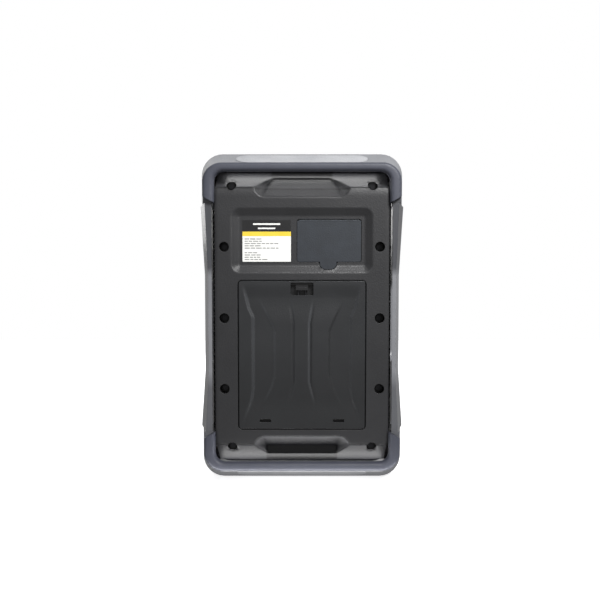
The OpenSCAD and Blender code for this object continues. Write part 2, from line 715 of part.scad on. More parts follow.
module surround(at) turned(at) difference() {
    translate([(cone_mouth + driver_dia/2 - 9)/2, 1]) circle(d = driver_dia/2 - 9 - cone_mouth - 0.4);
    translate([(cone_mouth + driver_dia/2 - 9)/2, 1]) circle(d = driver_dia/2 - 11 - cone_mouth);
    translate([0, 1]) square([driver_dia, driver_dia]);
}
module dust_cap(at) turned(at) intersection() {
    translate([0, cone_drop + 15]) difference() { circle(27); circle(26); }
    square([coil_r + 3, cone_drop - 4]);
}
module upper_basket() color("#1c1c1e") basket(driver_z);
module lower_basket() color("#1c1c1e") basket(-driver_z);
module upper_magnet() color("#4b4b4e") magnet(driver_z);
module lower_magnet() color("#4b4b4e") magnet(-driver_z);
module upper_cone() color("#242426") cone(driver_z);
module lower_cone() color("#242426") cone(-driver_z);
module upper_surround() color("#141415") surround(driver_z);
module lower_surround() color("#141415") surround(-driver_z);
module upper_dust_cap() color("#2c2c2f") dust_cap(driver_z);
module lower_dust_cap() color("#2c2c2f") dust_cap(-driver_z);
module driver_screws() color("#5a5a5d") for (z = [-1, 1], a = [45:90:315])
    rod((driver_dia/2 - 3.6)*cos(a), drivers_mid + z*driver_z + (driver_dia/2 - 3.6)*sin(a), 2.4,
        basket_front - 5, basket_front - 3);

// ---- control panel ----

window_z = control_z + 18;
button_z = control_z - 24;
shaft_d = 6;
shaft_clear = 0.05;
window_t = 1.8;
control_top = control_d + control_t;            // the control panel's outer face
module control_panel() color("#232427") difference() {
    slab(control_d, control_top, body_mid) translate([0, control_z]) round_rect(control_w, control_h, 8);
    slab(control_d - 1, control_top + 1, body_mid) translate([0, window_z])
        square([window_w, window_h], center = true);
    for (x = [-1, 1]) rod(x*knob_x, control_z, shaft_d/2 + shaft_clear, control_d - 1, control_top + 1);
    for (i = [-2:2]) rod(i*button_pitch, button_z, button_dia/2 + 0.35, control_d - 1, control_top + 1);
}
module display_window() color("#55606a", 0.6) slab(control_top - window_t, control_top, body_mid)
    translate([0, window_z]) square([window_w, window_h], center = true);
module display() color("#6f8a6c") slab(control_d - 2.5, control_top - window_t, body_mid)
    translate([0, window_z]) square([window_w - 6, window_h - 6], center = true);
module control_board() color("#1e5a34") slab(front_d - baffle_t - 6, front_d - baffle_t - 4.4, body_mid)
    translate([0, control_z]) square([control_w - 24, control_h - 20], center = true);
module knob(x) {
    rod(x, control_z, knob_dia/2, control_top + 0.5, control_top + knob_h);
    rod(x, control_z, shaft_d/2, encoder_front + 0.3, control_top + 0.5);
}
encoder_front = front_d - baffle_t + 2;
module encoder(x)
    slab(front_d - baffle_t - 4.4, encoder_front, body_mid) translate([x, control_z])
        square([12, 12], center = true);
module volume_knob() color("#3b3c40") knob(knob_x);
module tuning_knob() color("#3b3c40") knob(-knob_x);
module volume_encoder() color("#8b8d90") encoder(knob_x);
module tuning_encoder() color("#8b8d90") encoder(-knob_x);
module button(i) {
    rod(i*button_pitch, button_z, button_dia/2, control_d - 0.6, control_top + button_travel + 0.6);
    rod(i*button_pitch, button_z, button_dia/2 + 1.2, control_d - 2, control_d - 0.6);
}
module power_button() color("#a33a30") button(-2);
module mode_button() color("#5d5f63") button(-1);
module previous_button() color("#5d5f63") button(0);
module play_button() color("#5d5f63") button(1);
module next_button() color("#5d5f63") button(2);

top_bumper();
bottom_bumper();
rear_top_tube();
rear_bottom_tube();
front_top_rim();
front_bottom_rim();
left_rail();
right_rail();
top_pad();
bottom_pad();
cage_screws();
isolators();
rear_shell();
front_shell();
shell_gasket();
case_screws();
label();
speaker_grille();
port_door();
port_panel();
port_board();
aux_socket();
usb_socket();
dc_socket();
battery_door();
battery_latch();
latch_spring();
door_seal();
battery_tray();
battery_cells();
battery_contacts();
main_board();
heat_sink();
control_panel();
control_board();
display();
display_window();
volume_knob();
tuning_knob();
volume_encoder();
tuning_encoder();
power_button();
mode_button();
previous_button();
play_button();
next_button();
upper_basket();
upper_magnet();
upper_cone();
upper_surround();
upper_dust_cap();
lower_basket();
lower_magnet();
lower_cone();
lower_surround();
lower_dust_cap();
driver_screws();
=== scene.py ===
import bpy
import math
import numpy as np
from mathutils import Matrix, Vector


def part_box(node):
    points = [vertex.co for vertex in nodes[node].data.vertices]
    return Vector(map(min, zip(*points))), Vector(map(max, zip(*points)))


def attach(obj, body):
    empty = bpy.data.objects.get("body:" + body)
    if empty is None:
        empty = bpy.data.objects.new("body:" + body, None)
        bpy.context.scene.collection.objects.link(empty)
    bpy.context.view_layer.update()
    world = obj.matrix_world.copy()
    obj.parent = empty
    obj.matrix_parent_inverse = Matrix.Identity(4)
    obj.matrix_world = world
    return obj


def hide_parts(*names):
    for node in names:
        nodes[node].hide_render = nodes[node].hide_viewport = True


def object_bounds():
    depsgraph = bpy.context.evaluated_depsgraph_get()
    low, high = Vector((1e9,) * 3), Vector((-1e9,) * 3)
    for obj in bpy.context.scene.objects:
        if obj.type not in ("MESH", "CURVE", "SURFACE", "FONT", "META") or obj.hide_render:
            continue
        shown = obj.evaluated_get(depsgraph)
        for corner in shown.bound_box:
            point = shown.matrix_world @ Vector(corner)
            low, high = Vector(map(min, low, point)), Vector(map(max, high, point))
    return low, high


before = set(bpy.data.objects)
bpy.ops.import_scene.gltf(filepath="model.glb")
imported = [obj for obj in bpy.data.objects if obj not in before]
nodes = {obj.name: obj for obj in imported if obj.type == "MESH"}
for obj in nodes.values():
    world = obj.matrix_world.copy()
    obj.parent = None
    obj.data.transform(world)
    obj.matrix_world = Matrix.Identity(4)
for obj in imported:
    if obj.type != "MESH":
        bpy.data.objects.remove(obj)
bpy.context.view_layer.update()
mm = 0.001
(lowAll, highAll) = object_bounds()
midZ = (lowAll.z + highAll.z) / 2


# ---------------------------------------------------------------- small tools

def linear(hexColour, alpha=1.0):
    # sRGB hex to linear light: c/12.92 below the knee, ((c+0.055)/1.055)^2.4 above
    parts = [int(hexColour[i:i + 2], 16) / 255 for i in (0, 2, 4)]
    return tuple(c / 12.92 if c <= 0.04045 else ((c + 0.055) / 1.055) ** 2.4 for c in parts) + (alpha,)


def addNode(tree, kind, links=None, settings=None, values=None):
    # one node: its settings, its socket values, and links given as input name -> output socket
    node = tree.nodes.new(kind)
    for name, value in (settings or {}).items():
        setattr(node, name, value)
    for name, value in (values or {}).items():
        node.inputs[name].default_value = value
    for name, socket in (links or {}).items():
        tree.links.new(socket, node.inputs[name])
    return node


def newMaterial(name):
    material = bpy.data.materials.new(name)
    material.use_nodes = True
    tree = material.node_tree
    shader = tree.nodes["Principled BSDF"]
    where = addNode(tree, "ShaderNodeTexCoord").outputs["Object"]
    return material, tree, shader, where


def ramp(tree, source, stops):
    node = addNode(tree, "ShaderNodeValToRGB", {"Fac": source})
    node.color_ramp.elements[0].position, node.color_ramp.elements[0].color = stops[0]
    node.color_ramp.elements[1].position, node.color_ramp.elements[1].color = stops[-1]
    for place, colour in stops[1:-1]:
        node.color_ramp.elements.new(place).color = colour
    return node.outputs["Color"]


def grey(level):
    return (level, level, level, 1.0)


def makeMesh(name, points, faces, body, material, replaced=(), smooth=True, loose=None):
    # points: array (n, 3) in metres; faces: array (m, 4), or lists of corners
    mesh = bpy.data.meshes.new(name)
    mesh.from_pydata(np.asarray(points).tolist(), [], [list(map(int, f)) for f in faces])
    mesh.validate()
    mesh.update()
    piece = bpy.data.objects.new(name, mesh)
    bpy.context.scene.collection.objects.link(piece)
    mesh.materials.append(material)
    mesh.polygons.foreach_set("use_smooth", np.full(len(mesh.polygons), smooth))
    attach(piece, body)
    if replaced:
        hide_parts(*replaced)
    return piece


def gridFaces(rows, columns, closeRows=False, closeColumns=False):
    # quads of a rows x columns grid of points, wrapped round where asked
    r = np.arange(rows if closeRows else rows - 1)
    c = np.arange(columns if closeColumns else columns - 1)
    r, c = np.meshgrid(r, c, indexing="ij")
    r2, c2 = (r + 1) % rows, (c + 1) % columns
    return np.stack([r * columns + c, r * columns + c2, r2 * columns + c2, r2 * columns + c], -1).reshape(-1, 4)


def outwards(piece):
    # turn every face of a closed shell outwards
    import bmesh
    mesh = bmesh.new()
    mesh.from_mesh(piece.data)
    bmesh.ops.remove_doubles(mesh, verts=mesh.verts, dist=1e-6)
    bmesh.ops.recalc_face_normals(mesh, faces=mesh.faces)
    mesh.to_mesh(piece.data)
    mesh.free()


def modifier(piece, kind, **settings):
    made = piece.modifiers.new(kind.title(), kind)
    for name, value in settings.items():
        setattr(made, name, value)
    return made


def sharpen(piece, degrees=32):
    piece.data.set_sharp_from_angle(angle=math.radians(degrees))


# ---------------------------------------------------------------- materials

def mouldedPlastic(name, look):
    # base colour drifts with a broad noise and lightens on worn edges; fine grain in bump and roughness
    material, tree, shader, where = newMaterial(name)
    broad = addNode(tree, "ShaderNodeTexNoise", {"Vector": where}, None,
                    {"Scale": 1000 / look["patchMm"], "Detail": 4.0, "Roughness": 0.6}).outputs["Fac"]
    grain = addNode(tree, "ShaderNodeTexNoise", {"Vector": where}, None,
                    {"Scale": 1000 / look["grainMm"], "Detail": 3.0, "Roughness": 0.7}).outputs["Fac"]
    pits = addNode(tree, "ShaderNodeTexVoronoi", {"Vector": where}, None,
                   {"Scale": 1000 / look["pitMm"], "Randomness": 1.0}).outputs["Distance"]
    body = ramp(tree, broad, [(0.3, linear(look["dark"])), (0.7, linear(look["light"]))])
    rounded = addNode(tree, "ShaderNodeBevel", None, {"samples": 4}, {"Radius": look["edgeMm"] * mm}).outputs["Normal"]
    facing = addNode(tree, "ShaderNodeVectorMath", {0: rounded,
                     1: addNode(tree, "ShaderNodeNewGeometry").outputs["Normal"]},
                     {"operation": "DOT_PRODUCT"}).outputs["Value"]
    edge = ramp(tree, facing, [(0.80, grey(look["wear"])), (0.985, grey(0.0))])
    scuff = addNode(tree, "ShaderNodeMath", {0: edge, 1: grain}, {"operation": "MULTIPLY"}).outputs["Value"]
    worn = addNode(tree, "ShaderNodeMix", {"Factor": scuff, 6: body}, {"data_type": "RGBA"},
                   {7: linear(look["worn"])}).outputs[2]
    if look.get("paintedShading"):
        # painted light and shade: the colour is multiplied by a per-point value stored in the mesh, which paints shade
        # into hollows, creases and gaps and paints light onto some slopes and walls
        paintedShading = addNode(tree, "ShaderNodeAttribute", None, {"attribute_name": "paintedShading"}).outputs["Fac"]
        worn = addNode(tree, "ShaderNodeVectorMath", {0: worn, "Scale": paintedShading}, {"operation": "SCALE"}).outputs["Vector"]
    if look.get("ends"):
        # painted shade: the rail ends beyond the waist are painted darker, by height above and below the middle
        height = addNode(tree, "ShaderNodeSeparateXYZ", {"Vector": where}).outputs["Z"]
        upper = addNode(tree, "ShaderNodeMapRange", {"Value": height}, None,
                        {"From Min": midZ + 55 * mm, "From Max": midZ + 66 * mm}).outputs["Result"]
        lower = addNode(tree, "ShaderNodeMapRange", {"Value": height}, None,
                        {"From Min": midZ - 70 * mm, "From Max": midZ - 92 * mm, "To Max": 0.7}).outputs["Result"]
        end = addNode(tree, "ShaderNodeMath", {0: upper, 1: lower}, {"operation": "MAXIMUM"}).outputs["Value"]
        worn = addNode(tree, "ShaderNodeMix", {"Factor": end, 6: worn}, {"data_type": "RGBA"},
                       {7: linear(look["ends"])}).outputs[2]
    tree.links.new(worn, shader.inputs["Base Color"])
    rough = ramp(tree, grain, [(0.3, grey(look["rough"][0])), (0.75, grey(look["rough"][1]))])
    tree.links.new(rough, shader.inputs["Roughness"])
    skin = addNode(tree, "ShaderNodeMath", {0: grain, 1: pits}, {"operation": "ADD"}).outputs["Value"]
    bump = addNode(tree, "ShaderNodeBump", {"Height": skin, "Normal": rounded}, None,
                   {"Strength": look["bump"], "Distance": look["grainMm"] * mm * 0.25})
    tree.links.new(bump.outputs["Normal"], shader.inputs["Normal"])
    shader.inputs["IOR"].default_value = look.get("ior", 1.5)
    shader.inputs["Specular IOR Level"].default_value = look.get("spec", 0.5)
    return material


def metalFinish(name, look):
    # plated or painted metal: streaked roughness along one way, faint colour drift, fine bump
    material, tree, shader, where = newMaterial(name)
    stretched = addNode(tree, "ShaderNodeMapping", {"Vector": where}, None,
                        {"Scale": look.get("stretch", (1, 1, 1))}).outputs["Vector"]
    streak = addNode(tree, "ShaderNodeTexNoise", {"Vector": stretched}, None,
                     {"Scale": 1000 / look["grainMm"], "Detail": 5.0}).outputs["Fac"]
    broad = addNode(tree, "ShaderNodeTexNoise", {"Vector": where}, None, {"Scale": 1000 / 25}).outputs["Fac"]
    colour = ramp(tree, broad, [(0.35, linear(look["dark"])), (0.65, linear(look["light"]))])
    tree.links.new(colour, shader.inputs["Base Color"])
    tree.links.new(ramp(tree, streak, [(0.3, grey(look["rough"][0])), (0.7, grey(look["rough"][1]))]),
                   shader.inputs["Roughness"])
    bump = addNode(tree, "ShaderNodeBump", {"Height": streak}, None,
                   {"Strength": look["bump"], "Distance": look["grainMm"] * mm * 0.2})
    tree.links.new(bump.outputs["Normal"], shader.inputs["Normal"])
    shader.inputs["Metallic"].default_value = look["metal"]
    return material


looks = {
    # fine-grained moulded ABS: an even satin grey, dulled by its grain, paler where edges rub
    "cage": mouldedPlastic("abs_light_grey_moulded", dict(
        dark="7e7f83", light="87888c", worn="a9aaad", wear=0.7, patchMm=60, grainMm=1.6, pitMm=2.2,
        rough=(0.42, 0.6), bump=0.25, edgeMm=1.2)),
    # the same ABS in a darker grey; its long faces catch a soft sheen at a low angle
    "rail": mouldedPlastic("abs_mid_grey_moulded", dict(
        dark="77787c", light="828387", worn="a5a6a9", wear=0.6, patchMm=60, grainMm=1.6, pitMm=2.2,
        # ends: the colour of the painted shade on the rail ends
        rough=(0.3, 0.44), bump=0.22, edgeMm=1.0, ends="45464a")),
    # overmoulded thermoplastic rubber: blue-grey, satin, with a soft highlight along the tube
    "tube": mouldedPlastic("tpe_blue_grey_overmoulded", dict(
        dark="40424c", light="484a54", worn="6a6c76", wear=0.25, patchMm=45, grainMm=1.4, pitMm=2.0,
        rough=(0.45, 0.6), bump=0.18, edgeMm=1.0, spec=0.45)),
    # textured inlay: pale, matt, leathery grain that stops a hand or the floor from slipping
    "pad": mouldedPlastic("tpe_pale_grip_inlay", dict(
        dark="9c9da1", light="abacaf", worn="c8c8ca", wear=0.3, patchMm=30, grainMm=2.4, pitMm=3.0,
        rough=(0.6, 0.8), bump=0.5, edgeMm=0.5)),
    # spark-eroded ABS: charcoal with a fine sparkle of tiny pits, soft wide highlights
    "shell": mouldedPlastic("abs_charcoal_spark_textured", dict(
        dark="232325", light="2a2a2c", worn="48484a", wear=0.55, patchMm=70, grainMm=1.5, pitMm=1.9,
        # this shell's colour takes the painted light and shade stored in its mesh
        rough=(0.4, 0.54), bump=0.3, edgeMm=0.8, paintedShading=True)),
    # the same spark-eroded ABS on the shell's plain inner and front half
    "shellFront": mouldedPlastic("abs_charcoal_spark_textured_front", dict(
        dark="242426", light="2b2b2d", worn="48484a", wear=0.5, patchMm=70, grainMm=1.5, pitMm=1.9,
        rough=(0.42, 0.56), bump=0.3, edgeMm=0.8)),
    # the door comes from another mould: the same grain, a trace glossier and colder
    "door": mouldedPlastic("abs_charcoal_door", dict(
        dark="222325", light="28292b", worn="4c4d4f", wear=0.5, patchMm=60, grainMm=1.5, pitMm=1.9,
        # this door's colour takes the painted light and shade stored in its mesh
        rough=(0.34, 0.46), bump=0.22, edgeMm=0.6, paintedShading=True)),
    # moulded acetal: smooth, dense black with a waxy sheen
    "acetal": mouldedPlastic("acetal_black_moulded", dict(
        dark="161617", light="1c1c1e", worn="39393b", wear=0.4, patchMm=20, grainMm=0.9, pitMm=1.2,
        rough=(0.34, 0.46), bump=0.15, edgeMm=0.4)),
    # soft moulded rubber flap: blue-black, matt, faintly mottled
    "flap": mouldedPlastic("rubber_blue_black_moulded", dict(
        dark="23272d", light="292e35", worn="434a54", wear=0.4, patchMm=18, grainMm=1.2, pitMm=1.6,
        rough=(0.5, 0.66), bump=0.3, edgeMm=0.5)),
    # moulded black rubber: deep, matt, slightly dusty
    "rubber": mouldedPlastic("rubber_black_moulded", dict(
        dark="171718", light="1f1f20", worn="363637", wear=0.3, patchMm=20, grainMm=1.2, pitMm=1.5,
        rough=(0.62, 0.8), bump=0.3, edgeMm=0.5)),
    # satin ABS fascia with a very fine texture
    "fascia": mouldedPlastic("abs_black_satin", dict(
        dark="202123", light="27282a", worn="454648", wear=0.5, patchMm=50, grainMm=1.2, pitMm=1.5,
        rough=(0.36, 0.48), bump=0.18, edgeMm=0.8)),
    # nylon of the sockets: matt black
    "nylon": mouldedPlastic("nylon_black_moulded", dict(
        dark="121213", light="19191a", worn="303031", wear=0.3, patchMm=10, grainMm=0.8, pitMm=1.0,
        rough=(0.5, 0.62), bump=0.2, edgeMm=0.3)),
    # soft-touch paint on the knobs: velvety dark grey
    "knob": mouldedPlastic("soft_touch_paint", dict(
        dark="313236", light="393a3e", worn="626367", wear=0.6, patchMm=12, grainMm=0.9, pitMm=1.1,
        rough=(0.55, 0.68), bump=0.12, edgeMm=0.5)),
    # grey silicone keys with a dry, even surface
    "key": mouldedPlastic("silicone_grey_key", dict(
        dark="5a5b5f", light="636468", worn="85868a", wear=0.3, patchMm=8, grainMm=0.9, pitMm=1.2,
        rough=(0.55, 0.7), bump=0.15, edgeMm=0.5)),
    # the red key is the same silicone, dyed
    "redKey": mouldedPlastic("silicone_red_key", dict(
        dark="9c2a20", light="ad3327", worn="c9594c", wear=0.3, patchMm=8, grainMm=0.9, pitMm=1.2,
        rough=(0.45, 0.6), bump=0.15, edgeMm=0.5)),
    # coated paper cone: matt black fibres that show as fine radial mottling
    "paper": mouldedPlastic("paper_pulp_coated", dict(
        dark="1b1b1d", light="262628", worn="39393b", wear=0.2, patchMm=9, grainMm=1.8, pitMm=2.6,
        rough=(0.6, 0.85), bump=0.6, edgeMm=0.4)),
    # polyester sleeve of a cell: printed blue, glossy film
    "sleeve": mouldedPlastic("polyester_sleeve_printed", dict(
        dark="1d4f86", light="245c98", worn="8aa3c0", wear=0.3, patchMm=30, grainMm=2.0, pitMm=4.0,
        rough=(0.2, 0.32), bump=0.05, edgeMm=0.5)),
    # glass-epoxy board under solder mask: green and glossy with a faint weave
    "board": mouldedPlastic("glass_epoxy_solder_mask", dict(
        dark="0f4a2a", light="175c36", worn="5a8a64", wear=0.3, patchMm=14, grainMm=1.1, pitMm=1.5,
        rough=(0.22, 0.36), bump=0.2, edgeMm=0.3)),
    # liquid-crystal glass behind its window: grey-green
    "lcd": mouldedPlastic("lcd_glass", dict(
        dark="5c6f58", light="667a61", worn="7f9179", wear=0.1, patchMm=40, grainMm=1.0, pitMm=1.4,
        rough=(0.12, 0.2), bump=0.03, edgeMm=0.3)),
    # printed polyester film: bright white with a slight orange-peel
    "film": mouldedPlastic("polyester_film_white", dict(
        dark="eeeeea", light="f6f6f3", worn="dcdcd8", wear=0.2, patchMm=25, grainMm=1.2, pitMm=2.0,
        rough=(0.35, 0.48), bump=0.06, edgeMm=0.2)),
    "inkBlack": mouldedPlastic("ink_black_printed", dict(
        dark="141415", light="1b1b1c", worn="3c3c3c", wear=0.1, patchMm=20, grainMm=1.2, pitMm=2.0,
        rough=(0.35, 0.48), bump=0.05, edgeMm=0.2)),
    "inkYellow": mouldedPlastic("ink_yellow_printed", dict(
        dark="ecca3c", light="f4d74c", worn="d8bb48", wear=0.1, patchMm=20, grainMm=1.2, pitMm=2.0,
        rough=(0.35, 0.48), bump=0.05, edgeMm=0.2)),
    "inkGrey": mouldedPlastic("ink_grey_printed", dict(
        dark="8b8b8b", light="9b9b9a", worn="b0b0b0", wear=0.1, patchMm=3, grainMm=1.0, pitMm=2.0,
        rough=(0.35, 0.48), bump=0.05, edgeMm=0.2)),
    # powder-coated perforated steel: black, faintly orange-peeled, semi-matt
    "grille": metalFinish("steel_powder_coated_black", dict(
        dark="303032", light="3b3b3d", rough=(0.2, 0.34), bump=0.3, grainMm=1.6, metal=0.0)),
    # zinc plate: cool silver with a brushed streak
    "zinc": metalFinish("steel_zinc_plated", dict(
        dark="a9adb2", light="c4c7ca", rough=(0.25, 0.45), bump=0.15, grainMm=1.2, metal=1.0, stretch=(1, 1, 0.15))),
    # black oxide on screws and baskets: dark, oily sheen
    "blackSteel": metalFinish("steel_black_oxide", dict(
        dark="2b2b2d", light="3a3a3c", rough=(0.32, 0.5), bump=0.2, grainMm=1.4, metal=0.85)),
    # sintered ferrite with its plated plates: dull graphite grey
    "ferrite": metalFinish("ferrite_sintered", dict(
        dark="3a3a3d", light="4a4a4d", rough=(0.5, 0.7), bump=0.4, grainMm=2.0, metal=0.3)),
    # extruded aluminium fins: drawn lines along the length
    "aluminium": metalFinish("aluminium_extruded", dict(
        dark="b0b2b5", light="c6c8cb", rough=(0.28, 0.42), bump=0.2, grainMm=1.0, metal=1.0, stretch=(1, 1, 0.1))),
    # nickel-plated spring steel
    "nickel": metalFinish("steel_nickel_plated", dict(
        dark="b8b5ab", light="cdcac0", rough=(0.2, 0.35), bump=0.1, grainMm=1.0, metal=1.0)),
}


def smokedAcrylic():
    # tinted clear sheet: mostly transmits, mirrors softly, faint wipe marks in the roughness
    material, tree, shader, where = newMaterial("acrylic_smoked_polished")
    smear = addNode(tree, "ShaderNodeTexNoise", {"Vector": where}, None, {"Scale": 60.0, "Detail": 3.0}).outputs["Fac"]
    tint = ramp(tree, smear, [(0.3, linear("8b949c")), (0.7, linear("99a2aa"))])
    tree.links.new(tint, shader.inputs["Base Color"])
    tree.links.new(ramp(tree, smear, [(0.3, grey(0.03)), (0.7, grey(0.09))]), shader.inputs["Roughness"])
    shader.inputs["Transmission Weight"].default_value = 0.9
    shader.inputs["IOR"].default_value = 1.49
    return material


looks["window"] = smokedAcrylic()

finishes = {
    "cage": ["top_bumper", "bottom_bumper"], "rail": ["left_rail", "right_rail"],
    "tube": ["rear_top_tube", "rear_bottom_tube", "front_top_rim", "front_bottom_rim"],
    "pad": ["top_pad", "bottom_pad"], "shellFront": ["rear_shell", "front_shell"],
    "door": ["battery_door"], "acetal": ["battery_latch"], "flap": ["port_door"],
    "rubber": ["isolators", "shell_gasket", "door_seal", "upper_surround", "lower_surround"],
    "fascia": ["control_panel", "port_panel", "battery_tray"],
    "nylon": ["aux_socket", "dc_socket"], "knob": ["volume_knob", "tuning_knob"],
    "key": ["mode_button", "previous_button", "play_button", "next_button"], "redKey": ["power_button"],
    "paper": ["upper_cone", "lower_cone", "upper_dust_cap", "lower_dust_cap"],
    "sleeve": ["battery_cells"], "board": ["main_board", "port_board", "control_board"],
    "lcd": ["display"], "window": ["display_window"], "film": ["label"], "grille": ["speaker_grille"],
    "zinc": ["usb_socket", "volume_encoder", "tuning_encoder"],
    "blackSteel": ["latch_spring", "case_screws", "cage_screws", "driver_screws", "upper_basket", "lower_basket"],
    "ferrite": ["upper_magnet", "lower_magnet"], "aluminium": ["heat_sink"], "nickel": ["battery_contacts"],
}
for look, names in finishes.items():
    for name in names:
        for place in nodes[name].material_slots:
            place.material = looks[look]
print("materials on", sum(len(names) for names in finishes.values()), "nodes")


# ---------------------------------------------------------------- sizes read from the frame

rearY = highAll.y
frontY = lowAll.y
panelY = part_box("rear_shell")[1].y               # rear face of the panel
(doorLow, doorHigh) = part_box("battery_door")
(tubeLow, tubeHigh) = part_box("rear_top_tube")
(rimLow, rimHigh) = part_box("front_top_rim")
(bumperLow, bumperHigh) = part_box("top_bumper")


# ---------------------------------------------------------------- cage: tubes, rims and bumpers

def halfLoop(width, height, radius, foot, turns=20, run=5):
    # path of half a rounded rectangle: up one leg, round a quarter arc, across, round, down the other leg
    angles = np.linspace(0, math.pi / 2, turns)
    x = [np.full(run, width)]
    z = [np.linspace(foot, height - radius, run, endpoint=False)]
    x.append(width - radius + radius * np.cos(angles))
    z.append(height - radius + radius * np.sin(angles))
    across = np.linspace(width - radius, 0, 2 * run)[1:]
    x.append(across)
    z.append(np.full(len(across), height))
    x, z = np.concatenate(x), np.concatenate(z)
    return np.concatenate([x, -x[-2::-1]]), np.concatenate([z, z[-2::-1]])


def capped(points, rows, columns, faces):
    # closes the two open ends of a swept band with one flat face each
    start = np.arange(columns)
    return np.concatenate([faces]), [start[::-1].tolist(), (start + (rows - 1) * columns).tolist()]


def sweepBand(name, outer, inner, section, body, material, replaced, upside, scallop=0.0):
    # each section point (s, y) lies s of the way from the outer to the inner loop, at depth y
    ox, oz = outer
    ix, iz = inner
    s = section[:, 0][None, :]
    x = ox[:, None] * (1 - s) + ix[:, None] * s
    z = oz[:, None] * (1 - s) + iz[:, None] * s
    y = np.broadcast_to(section[:, 1][None, :], x.shape)
    if scallop:
        # the two ends rise in a curve towards the outside: z grows by scallop * (1 - s)^1.3 near the foot
        foot = min(oz[0], iz[0])
        near = np.clip(1 - (z - foot) / (3 * scallop), 0, 1)
        z = z + scallop * near * ((1 - s) ** 1.3)
    if not upside:
        z = 2 * midZ - z
    rows, columns = x.shape
    faces, ends = capped(None, rows, columns, gridFaces(rows, columns, closeColumns=True))
    points = np.stack([x, y, z], -1).reshape(-1, 3)
    piece = makeMesh(name, points, faces.tolist() + ends, body, material, replaced)
    outwards(piece)
    sharpen(piece, 40)
    return piece


def roundedSection(y0, y1, roundS, roundY, steps=6):
    # a rounded rectangle in (s, y): s runs 0..1 across the tube, y from y0 to y1
    a = np.linspace(0, math.pi / 2, steps)
    corners = []
    for cs, cy, turn in ((1 - roundS, y1 - roundY, 0), (roundS, y1 - roundY, 1),
                         (roundS, y0 + roundY, 2), (1 - roundS, y0 + roundY, 3)):
        t = a + turn * math.pi / 2
        corners.append(np.stack([cs + roundS * np.cos(t), cy + roundY * np.sin(t)], -1))
    return np.concatenate(corners)


ring = dict(width=tubeHigh.x, height=tubeHigh.z - midZ, radius=25 * mm, side=15.2 * mm, across=11.3 * mm,
            inner=13 * mm, foot=tubeLow.z - midZ, roundS=0.34, roundY=6 * mm, dip=8.5 * mm)
ringSection = roundedSection(tubeLow.y, tubeHigh.y, ring["roundS"], ring["roundY"])
ringOuter = halfLoop(ring["width"], ring["height"], ring["radius"], ring["foot"])
ringInner = halfLoop(ring["width"] - ring["side"], ring["height"] - ring["across"], ring["inner"], ring["foot"])
for name, upside in (("top", True), ("bottom", False)):
    loops = [(x, z + midZ) for x, z in (ringOuter, ringInner)]
    sweepBand("rear_tube_" + name, loops[0], loops[1], ringSection, "case", looks["tube"],
              ["rear_" + name + "_tube"], upside, ring["dip"])

rim = dict(width=rimHigh.x, height=rimHigh.z - midZ, radius=28 * mm, wall=7.5 * mm, roundS=0.4, roundY=3.5 * mm)
rimSection = roundedSection(rimLow.y, rimHigh.y, rim["roundS"], rim["roundY"])
rimOuter = halfLoop(rim["width"], rim["height"], rim["radius"], ring["foot"])
rimInner = halfLoop(rim["width"] - rim["wall"], rim["height"] - rim["wall"], rim["radius"] - rim["wall"], ring["foot"])
for name, upside in (("top", True), ("bottom", False)):
    loops = [(x, z + midZ) for x, z in (rimOuter, rimInner)]
    sweepBand("front_rim_" + name, loops[0], loops[1], rimSection, "case", looks["tube"],
              ["front_" + name + "_rim"], upside)
print("tubes and rims swept")


# ---------------------------------------------------------------- battery door

def softStep(t):
    t = np.clip(t, 0, 1)
    return t * t * (3 - 2 * t)


def roundBox(x, z, cx, cz, halfW, halfH, r):
    # signed distance to a rounded rectangle, negative inside
    qx, qz = np.abs(x - cx) - halfW + r, np.abs(z - cz) - halfH + r
    return np.hypot(np.maximum(qx, 0), np.maximum(qz, 0)) + np.minimum(np.maximum(qx, qz), 0) - r


def spread(mask):
    # grow a mask by one point each way
    grown = mask.copy()
    grown[1:] |= mask[:-1]
    grown[:-1] |= mask[1:]
    wide = grown.copy()
    wide[:, 1:] |= grown[:, :-1]
    wide[:, :-1] |= grown[:, 1:]
    return wide


def stamp(x, z, depth, shape, floor, paintedShading=None, dark=1.0, draft=0.12 * mm):
    # sinks the points inside a shape to the floor; both rings of points beside its edge slide onto it
    away = shape(x, z)
    inside = away < 0
    outer, inner = spread(inside) & ~inside, spread(~inside) & inside
    step = 0.02 * mm
    gx = (shape(x + step, z) - away) / step
    gz = (shape(x, z + step) - away) / step
    for ring, target in ((outer, 0.0), (inner, -draft)):
        move = np.where(ring, target - away, 0)
        x, z = x + move * gx, z + move * gz
    depth = np.where(inside, np.maximum(depth, floor), depth)
    # painted shade: inside the shape the per-point painted light value is multiplied by dark
    if paintedShading is not None:
        paintedShading = np.where(inside, paintedShading * dark, paintedShading)
    return x, z, depth, paintedShading, inside


